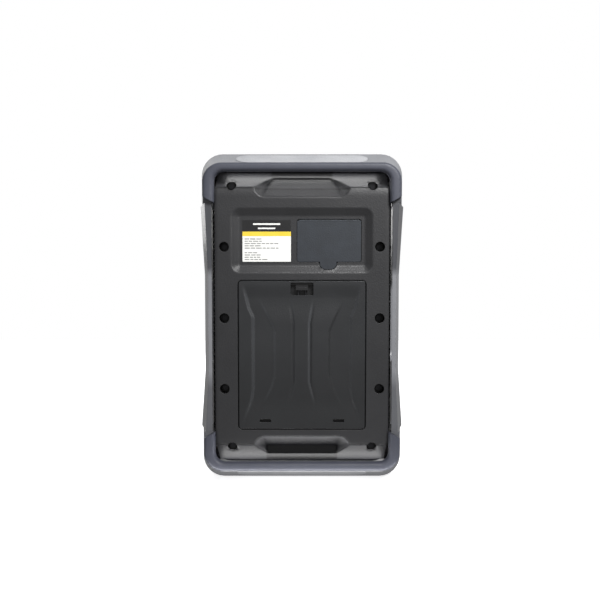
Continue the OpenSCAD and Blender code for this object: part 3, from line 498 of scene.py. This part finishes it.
def reliefPiece(name, x, z, depth, paintedShading, back, gone, body, material, replaced):
    # closed shell between a face at the given depths and a back; quads touching a gone point are left out
    rows, columns = x.shape
    count = rows * columns
    quads = gridFaces(rows, columns)
    keep = ~gone.ravel()[quads].any(1)
    quads = quads[keep]
    edges = np.stack([quads, np.roll(quads, -1, 1)], -1).reshape(-1, 2)
    key = np.minimum(edges[:, 0], edges[:, 1]) * count + np.maximum(edges[:, 0], edges[:, 1])
    single = np.isin(key, (lambda v, n: v[n == 1])(*np.unique(key, return_counts=True)))
    rim = edges[single]
    side = np.stack([rim[:, 1], rim[:, 0], rim[:, 0] + count, rim[:, 1] + count], -1)
    faces = np.concatenate([quads, quads[:, ::-1] + count, side])
    face = np.stack([x, rearY - depth, z], -1).reshape(-1, 3)
    rear = np.stack([x, rearY - back, z], -1).reshape(-1, 3)
    points = np.concatenate([face, rear])
    used = np.unique(faces)
    index = np.zeros(2 * count, int)
    index[used] = np.arange(len(used))
    piece = makeMesh(name, points[used], index[faces].tolist(), body, material, replaced)
    # the painted light and shade of each point is stored on the mesh for its material
    layer = piece.data.attributes.new("paintedShading", "FLOAT", "POINT")
    layer.data.foreach_set("value", np.concatenate([paintedShading.ravel(), paintedShading.ravel()])[used].astype(np.float32))
    outwards(piece)
    sharpen(piece, 40)
    return piece


def ridgeLine(up, points):
    # distance of a line from the middle of the door, by height, through the given (height, distance) points
    order = np.argsort([p[0] for p in points])
    return np.interp(up, np.array(points)[order, 0], np.array(points)[order, 1])


door = dict(edge=0.9 * mm, relief=2.7 * mm, pocketDeep=8 * mm, step=1.0 * mm, radius=5 * mm, halfW=83.5 * mm,
            height=195.8 * mm, pocketHalf=15 * mm, pocketH=16.5 * mm, pocketDrop=2.6 * mm,
            slotX=48.3 * mm, slotHalf=7.4 * mm, slotRise=11.2 * mm, slotH=4 * mm)
bodyMid = midZ + 1 * mm
doorFace = rearY - doorHigh.y
doorTop, doorFoot = doorHigh.z, doorHigh.z - door["height"]


def doorRelief(x, z):
    # waisted flutes: depth is a sum of steps 4 to 6 mm wide beside each ridge line, faded out at both ends
    up, side = z / mm, np.abs(x) / mm
    outer = ridgeLine(up, [(41, 79), (14, 72.5), (0, 66.5), (-95, 66.5), (-110, 69), (-136, 79)])
    inner = ridgeLine(up, [(30, 64), (20, 56), (2, 46.5), (-18, 38), (-78, 38), (-94, 43), (-130, 61)])
    rib = ridgeLine(up, [(30, 17), (-8, 11.0), (-86, 11.0), (-110, 17)])
    tall = softStep((44 - up) / 20) * softStep((up + 147) / 44)
    flute = softStep((outer - side) / 4.5) * tall
    crown = softStep((inner - side) / 4.0) * softStep((side - rib) / 2.5)
    ends = softStep((22 - up) / 30) * softStep((up + 124) / 46)
    centre = softStep((rib - side) / 2.5) * 0.55
    return door["relief"] * flute * (1 - (crown * 0.62 + centre) * ends)


def doorPaintedShading(x, z):
    # painted light and shade: the walls beside the ridge lines are painted lighter; the inner wall where x is negative
    # is painted darker
    up, side = z / mm, np.abs(x) / mm
    left = x > 0
    ends = softStep((26 - up) / 20) * softStep((up + 118) / 24)
    lines = [([(41, 79), (14, 72.5), (0, 66.5), (-95, 66.5), (-110, 69), (-136, 79)], 4.5, 1.0, 1.0, 1.0),
             ([(30, 64), (20, 56), (2, 46.5), (-18, 38), (-78, 38), (-94, 43), (-130, 61)], 4.0, 1.0, -0.35, ends),
             ([(30, 17), (-8, 11.0), (-86, 11.0), (-110, 17)], 3.6, 0.45, 1.3, ends)]
    gain = np.ones(x.shape)
    for points, width, leftGain, rightGain, fade in lines:
        within = (ridgeLine(up, points) - side) / width
        band = np.clip(4 * within * (1 - within), 0, 1) ** 0.6
        gain = gain + np.where(left, leftGain, rightGain) * band * fade * 0.9
    tall = softStep((44 - up) / 20) * softStep((up + 147) / 44)
    # painted shade: the lower half of the door is painted darker than the upper
    return (1 + (gain - 1) * tall) * (1 - 0.3 * softStep((-30 - up) / 90))


def buildDoor():
    x, z = np.meshgrid(np.linspace(-door["halfW"], door["halfW"], int(2 * door["halfW"] / door["step"])),
                       np.linspace(doorFoot, doorTop, int(door["height"] / door["step"])))
    away = -roundBox(x, z, 0, (doorTop + doorFoot) / 2, door["halfW"], door["height"] / 2, 0)
    # points beyond the corner arcs slide onto them
    cx = np.clip(x, -door["halfW"] + door["radius"], door["halfW"] - door["radius"])
    cz = np.clip(z, doorFoot + door["radius"], doorTop - door["radius"])
    far = np.hypot(x - cx, z - cz)
    squeeze = np.where(far > door["radius"], door["radius"] / np.maximum(far, 1e-9), 1.0)
    px, pz = cx + (x - cx) * squeeze, cz + (z - cz) * squeeze
    roll = np.clip(door["edge"] - away, 0, door["edge"])
    depth = doorFace + doorRelief(px, pz - bodyMid) + door["edge"] - np.sqrt(door["edge"] ** 2 - roll ** 2)
    # painted shade on the rolled edge of the door, times the painted light and shade of the flutes
    paintedShading = np.where(roll > 0.4 * door["edge"], 0.55, 1.0) * doorPaintedShading(px, pz - bodyMid)
    pocketZ = doorTop - door["pocketDrop"] - door["pocketH"] / 2
    # painted shade: the latch pocket is painted darker, and its upper part nearly black
    px, pz, depth, paintedShading, pocket = stamp(px, pz, depth, lambda a, b: roundBox(
        a, b, 0, pocketZ, door["pocketHalf"], door["pocketH"] / 2, 1.2 * mm), doorFace + door["pocketDeep"], paintedShading, 0.35)
    paintedShading = np.where(pocket & (pz > pocketZ + 2.5 * mm), 0.08, paintedShading)
    # painted shadow: the slots are painted nearly black
    slots = lambda a, b: roundBox(np.abs(a), b, door["slotX"], doorFoot + door["slotRise"], door["slotHalf"],
                                  door["slotH"] / 2, 0.8 * mm)
    px, pz, depth, paintedShading, slot = stamp(px, pz, depth, slots, doorFace + 6.0 * mm, paintedShading, 0.02)
    back = np.where(pocket, doorFace + door["pocketDeep"] + 1.4 * mm, doorFace + 3.45 * mm)
    back = np.where(spread(slot), doorFace + 7.0 * mm, back)
    reliefPiece("battery_door_moulded", px, pz, depth, paintedShading, back, np.zeros(x.shape, bool), "battery_door",
                looks["door"], ["battery_door"])


buildDoor()
print("battery door moulded")


# ---------------------------------------------------------------- rear shell

(shellLow, shellHigh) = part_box("rear_shell")
(portLow, portHigh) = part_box("port_door")
panel = dict(face=rearY - shellHigh.y, halfW=114.2 * mm, crease=168.5 * mm, half=196.5 * mm, slopeDeep=50 * mm,
             split=60 * mm, step=1.5 * mm, recessHalfW=92 * mm, recessHalfH=41.8 * mm, recessZ=100.4 * mm,
             recessDeep=5.5 * mm, bevel=9 * mm, wellR=6.5 * mm, wellDeep=17 * mm, roll=1.3 * mm,
             scoopHalf=63.5 * mm, scoopR=15 * mm, scoopDeep=25 * mm, scoopWall=15 * mm,
             bayHalfW=67.1 * mm, bayHalfH=91.9 * mm, doorGap=1 * mm, portGap=0.6 * mm)
panel["scoopEdge"] = 157 * mm
wellPlaces = [(sx * 101.9 * mm, k * 93.2 * mm - 1 * mm) for sx in (-1, 1) for k in (-1, 0, 1)]
wellPlaces += [(sx * 92.4 * mm, sz * 172 * mm) for sx in (-1, 1) for sz in (-1, 1)]


def panelDepth(x, z):
    # the panel is flat, rolls off before each crease, then slopes away; scoops and recess are sunk into it
    up = np.abs(z)
    slope = np.where(up > panel["crease"], 0.6 * mm + (up - panel["crease"]) *
                     (panel["slopeDeep"] - panel["face"]) / (panel["half"] - panel["crease"]), 0)
    roll = panel["roll"] * np.clip((up - panel["crease"] + 11 * mm) / (11 * mm), 0, 1) ** 2
    roll = roll + 0.9 * mm * np.clip((np.abs(x) - panel["halfW"] + 4 * mm) / (4 * mm), 0, 1) ** 2
    # scoop: depth grows with the distance inside its rounded outline, levelling off smoothly at the floor
    inScoop = -roundBox(x, up, 0, panel["scoopEdge"] + 60 * mm, panel["scoopHalf"], 60 * mm, panel["scoopR"])
    reach = np.where(z < 0, panel["scoopWall"] + 2 * mm, panel["scoopWall"] + 11 * mm)
    scoop = panel["scoopDeep"] * np.clip(inScoop / reach, 0, 1) ** 0.9
    inRecess = -roundBox(x, z, 0, panel["recessZ"], panel["recessHalfW"], panel["recessHalfH"], 11 * mm)
    recess = panel["recessDeep"] * np.clip(inRecess / panel["bevel"], 0, 1)
    recess = recess + 0.25 * mm * softStep(inRecess / (1.5 * mm)) * (1 - softStep((inRecess - 3 * mm) / (3 * mm)))
    return panel["face"] + np.maximum(np.maximum(slope, roll), np.maximum(scoop, recess))


def buildShell():
    columns = np.linspace(-panel["halfW"], panel["halfW"], int(2 * panel["halfW"] / panel["step"]))
    rows = np.linspace(-panel["half"], panel["half"], int(2 * panel["half"] / panel["step"]))
    x, z = np.meshgrid(columns, rows)
    depth = panelDepth(x, z)
    paintedShading = np.ones(x.shape)
    up = np.abs(z)
    # painted shade: a dark band along each crease
    paintedShading = np.where((up > panel["crease"] - 1.2 * mm) & (up < panel["crease"] + 0.8 * mm), 0.25, paintedShading)
    # painted light: the end slopes beyond the creases are painted lighter, the bottom one more than the top
    bottomEnd = (z < -panel["crease"] - 1 * mm)
    paintedShading = np.where(bottomEnd & (depth < panel["face"] + 60 * mm), 3.4, paintedShading)
    paintedShading = np.where(z > panel["crease"] + 1 * mm, 1.8, paintedShading)
    inScoop = -roundBox(x, up, 0, panel["scoopEdge"] + 60 * mm, panel["scoopHalf"], 60 * mm, panel["scoopR"])
    floor = inScoop > np.where(z < 0, panel["scoopWall"] + 0.5 * mm, panel["scoopWall"] + 7 * mm)
    # painted shade: the scoop floors are painted darker
    paintedShading = np.where(floor, 0.42, paintedShading)
    # painted light: the walls of the bottom scoop are painted lighter
    paintedShading = np.where((inScoop > 1.0 * mm) & ~floor & (z < 0), 3.4, paintedShading)
    doorMidZ = (doorTop + doorFoot) / 2 - bodyMid
    # painted shade in the gap round the battery door
    x, z, depth, paintedShading, _ = stamp(x, z, depth, lambda a, b: roundBox(
        a, b, 0, doorMidZ, door["halfW"] + panel["doorGap"], door["height"] / 2 + panel["doorGap"], 6 * mm),
        panel["face"] + 3.8 * mm, paintedShading, 0.3)
    x, z, depth, paintedShading, bay = stamp(x, z, depth, lambda a, b: roundBox(
        a, b, 0, doorMidZ, panel["bayHalfW"], panel["bayHalfH"], 3 * mm), panel["face"] + 3.9 * mm, paintedShading, 1.0)
    gap = panel["portGap"]
    portX, portHalfW, portHalfH = (portLow.x + portHigh.x) / 2, 41.9 * mm, 27.5 * mm
    flap = lambda a, b: np.minimum(
        roundBox(a, b, portX, panel["recessZ"], portHalfW + gap, portHalfH + gap, 3.1 * mm),
        roundBox(a, b, portX + 1.2 * mm, panel["recessZ"] - portHalfH - 2 * mm, 11 * mm + gap, 8 * mm + gap, 8 * mm + gap))
    deep = panel["face"] + panel["recessDeep"]
    # painted shade in the gap round the port flap
    x, z, depth, paintedShading, _ = stamp(x, z, depth, flap, deep + 2.8 * mm, paintedShading, 0.3)
    x, z, depth, paintedShading, mouth = stamp(x, z, depth, lambda a, b: roundBox(
        a, b, portX, panel["recessZ"], portHalfW - 4 * mm, portHalfH - 4 * mm, 0.5 * mm), deep + 2.9 * mm, paintedShading, 1.0)
    wells = np.zeros(x.shape, bool)
    # painted shadow: the screw wells are painted black
    for wx, wz in wellPlaces:
        x, z, depth, paintedShading, hole = stamp(x, z, depth, lambda a, b: np.hypot(a - wx, b - wz) - panel["wellR"],
                                         panel["face"] + panel["wellDeep"], paintedShading, 0.0)
        paintedShading = np.where(hole, 0.0, paintedShading)
        wells |= hole
    gone = (bay & ~spread(~bay)) | (mouth & ~spread(~mouth))
    # skirts: the rim drops to the lip, tucks in, and widens to the joint with the front shell
    wide = (shellHigh.x - shellLow.x) / 2
    skirt = [(panel["halfW"], 12.7 * mm), (112.4 * mm, 13 * mm), (wide, panel["slopeDeep"]), (wide, panel["split"])]
    left = np.stack([np.full(len(rows), -a) for a, d in skirt[::-1]], 1)
    leftDepth = np.stack([np.maximum(depth[:, 0], d) for a, d in skirt[::-1]], 1)
    x = np.concatenate([left, x, -left[:, ::-1]], 1)
    z = np.concatenate([np.repeat(z[:, :1], 4, 1), z, np.repeat(z[:, -1:], 4, 1)], 1)
    depth = np.concatenate([leftDepth, depth, leftDepth[:, ::-1]], 1)
    pad = np.ones((len(rows), 4))
    paintedShading = np.concatenate([pad, paintedShading, pad], 1)
    none = np.zeros((len(rows), 4), bool)
    gone = np.concatenate([none, gone, none], 1)
    x = np.concatenate([x[:1], x, x[-1:]])
    z = np.concatenate([z[:1], z, z[-1:]])
    end = np.full((1, x.shape[1]), panel["split"])
    depth = np.concatenate([end, depth, end])
    paintedShading = np.concatenate([paintedShading[:1], paintedShading, paintedShading[-1:]])
    gone = np.concatenate([gone[:1], gone, gone[-1:]])
    back = np.minimum(depth + 2.6 * mm, panel["split"] + 0.2 * mm)
    reliefPiece("rear_shell_moulded", x, z + bodyMid, depth, paintedShading, back, gone, "case",
                looks["shell"], ["rear_shell"])


buildShell()
print("rear shell moulded")


# ---------------------------------------------------------------- rail tips

def railTips():
    # the rails run on over the scalloped tube ends: rise is dip * (1 - s)^1.3 across the tube
    s = np.linspace(0, 0.8, 14)
    outX, inX = ring["width"] - 0.9 * mm, ring["width"] - ring["side"]
    across = outX * (1 - s) + inX * s
    top = ring["foot"] + ring["dip"] * (1 - s) ** 1.3 + 0.2 * mm
    low = np.full(len(s), ring["foot"] - 0.2 * mm)
    depths = np.array([6.0, 6.6, 16.0]) * mm
    inset = np.array([0.5, 0.0, 0.0]) * mm
    x = np.repeat(across[None], 3, 0)
    x[:, 0] = outX - inset + np.array([0, 0.1, 0.6]) * mm
    lower = np.stack([x, np.repeat((rearY - depths)[:, None], len(s), 1), np.repeat(low[None], 3, 0)], -1)
    upper = lower.copy()
    upper[..., 2] = top[None] - inset[:, None]
    count = len(s)
    points = np.concatenate([upper.reshape(-1, 3), lower.reshape(-1, 3)])
    faces = gridFaces(3, count)
    total = 3 * count
    rear = np.stack([np.arange(count - 1), np.arange(1, count), np.arange(1, count) + total,
                     np.arange(count - 1) + total], -1)
    front = rear + 2 * count
    ends = [[k * count + e, (k + 1) * count + e, (k + 1) * count + e + total, k * count + e + total]
            for k in (0, 1) for e in (0, count - 1)]
    faces = np.concatenate([faces, faces[:, ::-1] + total, rear, front, np.array(ends)])
    for name, sx, sz in (("upper_left", 1, 1), ("upper_right", -1, 1), ("lower_left", 1, -1), ("lower_right", -1, -1)):
        placed = points * np.array([sx, 1, sz]) + np.array([0, 0, midZ])
        tip = makeMesh("rail_tip_" + name, placed, faces.tolist(), "case", looks["rail"])
        outwards(tip)
        sharpen(tip, 35)


railTips()
print("rail tips shaped")


# ---------------------------------------------------------------- perforated grille

grille = dict(pitch=8.9 * mm, hole=3.45 * mm, sides=12, thick=1.3 * mm)


def grillePath():
    # half outline of the body in plan: from the tucked rear edge, out, forward, round the corner, to the middle
    (low, high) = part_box("speaker_grille")
    r = 15.3 * mm
    a = np.linspace(0, math.pi / 2, 14)
    x = np.concatenate([[114.2 * mm, high.x], high.x - r + r * np.cos(a), [0]])
    y = np.concatenate([[high.y, rearY - 50 * mm], low.y + r - r * np.sin(a), [low.y]])
    x, y = np.concatenate([x, -x[-2::-1]]), np.concatenate([y, y[-2::-1]])
    run = np.concatenate([[0], np.cumsum(np.hypot(np.diff(x), np.diff(y)))])
    return x, y, run, low, high


def buildGrille():
    pathX, pathY, run, low, high = grillePath()
    total = run[-1]
    (panelLow, panelHigh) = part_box("control_panel")
    sideLow = 2 * bodyMid - high.z
    across = grille["pitch"]
    rowStep = across * math.sqrt(3) / 2
    nAcross = int(total / across)
    across = total / nAcross
    rowsUp = int((high.z - low.z) / rowStep)
    i, j = np.meshgrid(np.arange(nAcross), np.arange(rowsUp), indexing="ij")
    s = (i + 0.5 + 0.5 * (j % 2 - 0.5)).ravel() * across
    z = low.z + (j.ravel() + 0.5) * rowStep
    # keep holes off the control panel and off the low sides
    onFront = (s > run[1] + 92 * mm) & (s < total - run[1] - 92 * mm)
    x0 = np.interp(s, run, pathX)
    underPanel = (np.abs(x0) < panelHigh.x - 3 * mm) & onFront & (z > panelLow.z + 3 * mm)
    lowSide = (z < sideLow) & (np.abs(x0) > 105 * mm)
    s, z = s[~(underPanel | lowSide)], z[~(underPanel | lowSide)]
    # one cell: the hexagon's 12 rim points and 12 points round the hole
    corner = np.arange(6) * math.pi / 3 + math.pi / 6
    hexX, hexZ = np.cos(corner) * across / math.sqrt(3), np.sin(corner) * rowStep / 1.5
    rimX = np.stack([hexX, (hexX + np.roll(hexX, -1)) / 2], -1).ravel()
    rimZ = np.stack([hexZ, (hexZ + np.roll(hexZ, -1)) / 2], -1).ravel()
    around = np.arctan2(rimZ, rimX)
    holeX, holeZ = grille["hole"] * np.cos(around), grille["hole"] * np.sin(around)
    cellS = np.concatenate([rimX, holeX])[None, :] + s[:, None]
    cellZ = np.concatenate([rimZ, holeZ])[None, :] + z[:, None]
    cellS = np.clip(cellS, 0, total)
    cellZ = np.clip(cellZ, low.z, high.z)
    k = np.arange(12)
    quad = np.stack([k, (k + 1) % 12, (k + 1) % 12 + 12, k + 12], -1)
    faces = (quad[None] + 24 * np.arange(len(s))[:, None, None]).reshape(-1, 4)
    points = np.stack([np.interp(cellS, run, pathX), np.interp(cellS, run, pathY), cellZ], -1).reshape(-1, 3)
    piece = makeMesh("grille_perforated", points, faces.tolist(), "case", looks["grille"],
                     ["speaker_grille"])
    import bmesh
    mesh = bmesh.new()
    mesh.from_mesh(piece.data)
    bmesh.ops.remove_doubles(mesh, verts=mesh.verts, dist=0.05 * mm)
    bmesh.ops.recalc_face_normals(mesh, faces=mesh.faces)
    mesh.to_mesh(piece.data)
    mesh.free()
    modifier(piece, "SOLIDIFY", thickness=grille["thick"], offset=-1.0)
    sharpen(piece, 50)
    return piece


buildGrille()
print("grille perforated")


# ---------------------------------------------------------------- label print

def flatBars(name, bars, y, material):
    # thin raised rectangles on the label: each bar is (x0, x1, z0, z1)
    bars = np.array(bars)
    x = bars[:, [0, 1, 1, 0]]
    z = bars[:, [2, 2, 3, 3]]
    ring0 = np.stack([x, np.full(x.shape, y), z], -1)
    ring1 = ring0 + np.array([0, 0.04 * mm, 0])
    points = np.concatenate([ring0, ring1], 1).reshape(-1, 3)
    cube = np.array([[0, 1, 2, 3], [4, 7, 6, 5], [0, 4, 5, 1], [1, 5, 6, 2], [2, 6, 7, 3], [3, 7, 4, 0]])
    faces = (cube[None] + 8 * np.arange(len(bars))[:, None, None]).reshape(-1, 4)
    piece = makeMesh(name, points, faces.tolist(), "case", material, smooth=False)
    outwards(piece)
    return piece


(labelLow, labelHigh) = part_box("label")
labelY = labelHigh.y + 0.01 * mm
left, right = labelHigh.x, labelLow.x              # seen from behind, the label's left is towards +X
labelW, labelH = labelHigh.x - labelLow.x, labelHigh.z - labelLow.z
flatBars("label_header", [(right, left, labelHigh.z - 0.275 * labelH, labelHigh.z)], labelY, looks["inkBlack"])
flatBars("label_band", [(right, left, labelHigh.z - 0.385 * labelH, labelHigh.z - 0.275 * labelH)], labelY,
         looks["inkYellow"])
rng = np.random.default_rng(7)
bars = []
for row, (words, top) in enumerate(((3, 0.44), (4, 0.495), (7, 0.55), (3, 0.605), (7, 0.66), (3, 0.77), (3, 0.825),
                                    (4, 0.88), (5, 0.935))):
    x = left - 0.045 * labelW
    for word in range(words):
        w = rng.uniform(0.05, 0.12) * labelW
        if x - w < right + 0.05 * labelW:
            break
        bars.append((x - w, x, labelHigh.z - (top + 0.024) * labelH, labelHigh.z - top * labelH))
        x -= w + 0.018 * labelW
flatBars("label_lines", bars, labelY, looks["inkGrey"])
heads = [(left - 0.78 * labelW, left - 0.22 * labelW, labelHigh.z - 0.115 * labelH, labelHigh.z - 0.075 * labelH),
         (left - 0.68 * labelW, left - 0.32 * labelW, labelHigh.z - 0.215 * labelH, labelHigh.z - 0.18 * labelH)]
flatBars("label_heading", heads, labelY + 0.05 * mm, looks["film"])
print("label printed")


# ---------------------------------------------------------------- stage, light and camera

view = dict(distance=1.0, height=34 * mm, pitch=3.3, aside=2.6 * mm, shiftY=0.061, sensor=36.0,
            plane=0.780)


def plane(name, corners, material):
    mesh = bpy.data.meshes.new(name)
    mesh.from_pydata(corners, [], [(0, 1, 2, 3)])
    mesh.materials.append(material)
    made = bpy.data.objects.new(name, mesh)
    bpy.context.scene.collection.objects.link(made)
    return made


def paleFloor():
    material, tree, shader, where = newMaterial("floor_pale_matt")
    drift = addNode(tree, "ShaderNodeTexNoise", {"Vector": where}, None, {"Scale": 3.0}).outputs["Fac"]
    tree.links.new(ramp(tree, drift, [(0.3, linear("f2f2f2")), (0.7, linear("f5f5f5"))]), shader.inputs["Base Color"])
    shader.inputs["Roughness"].default_value = 0.9
    shader.inputs["Emission Color"].default_value = (1, 1, 1, 1)
    shader.inputs["Emission Strength"].default_value = 0.75
    return material


def glowing(name, strength):
    material = bpy.data.materials.new(name)
    material.use_nodes = True
    tree = material.node_tree
    tree.nodes.clear()
    shine = addNode(tree, "ShaderNodeEmission", None, None, {"Color": (1, 1, 1, 1), "Strength": strength})
    addNode(tree, "ShaderNodeOutputMaterial", {"Surface": shine.outputs["Emission"]})
    return material


floor = plane("floor", [(-6, -6, 0), (6, -6, 0), (6, 6, 0), (-6, 6, 0)], paleFloor())
backdrop = plane("backdrop", [(-4, -3, -0.01), (4, -3, -0.01), (4, -3, 4), (-4, -3, 4)], glowing("backdrop_white", 1.0))
# floor and backdrop fill the picture but do not rim the rails or wash the panel from below
for stage in (floor, backdrop):
    stage.visible_glossy = False
    stage.visible_diffuse = False

world = bpy.data.worlds.new("studio")
bpy.context.scene.world = world
world.use_nodes = True
sky = world.node_tree.nodes["Background"]
sky.inputs["Color"].default_value = (1, 1, 1, 1)
sky.inputs["Strength"].default_value = 0.42


def softBox(name, place, aim, size, power):
    light = bpy.data.lights.new(name, "AREA")
    light.shape = "RECTANGLE"
    light.size, light.size_y = size
    light.energy = power
    made = bpy.data.objects.new(name, light)
    bpy.context.scene.collection.objects.link(made)
    made.location = place
    made.rotation_euler = (Vector(aim) - Vector(place)).to_track_quat("-Z", "Y").to_euler()
    made.visible_camera = False
    return made


softBox("key", (-0.5, 0.95, 1.15), (0, 0.05, 0.36), (0.5, 0.4), 23)
softBox("left_side", (1.6, -0.1, 0.3), (0, 0, 0.22), (0.6, 0.7), 0.4)
softBox("right_side", (-1.6, -0.1, 0.3), (0, 0, 0.22), (0.6, 0.7), 0.4)
softBox("front_fill", (0.5, -1.8, 1.0), (0, 0, 0.22), (1.2, 1.2), 14)
# light table under the rear edge, and two strips that light the gaps between body and cage
softBox("table", (0, rearY + 10 * mm, 1 * mm), (0, rearY - 6 * mm, 40 * mm), (0.3, 0.016), 0.16)
softBox("gap_top", (0, rearY - 34 * mm, midZ + 201 * mm), (0, rearY - 18 * mm, midZ + 170 * mm), (0.2, 0.012), 0.05)
softBox("gap_bottom", (0, rearY - 40 * mm, midZ - 205 * mm), (0, rearY - 25 * mm, midZ - 170 * mm), (0.22, 0.02), 0.05)

camera = bpy.data.objects.new("camera", bpy.data.cameras.new("camera"))
bpy.context.scene.collection.objects.link(camera)
bpy.context.scene.camera = camera
pitch = math.radians(view["pitch"])
camera.location = (view["aside"], rearY + view["distance"], midZ + view["height"])
camera.rotation_euler = (math.pi / 2 - pitch, 0, math.pi)
reach = view["distance"] * math.cos(pitch) + view["height"] * math.sin(pitch)
camera.data.sensor_width = view["sensor"]
camera.data.lens = view["sensor"] * reach / view["plane"]
camera.data.shift_y = view["shiftY"]
bpy.context.scene.view_settings.view_transform = "Standard"
print("camera set, lens", round(camera.data.lens, 2))
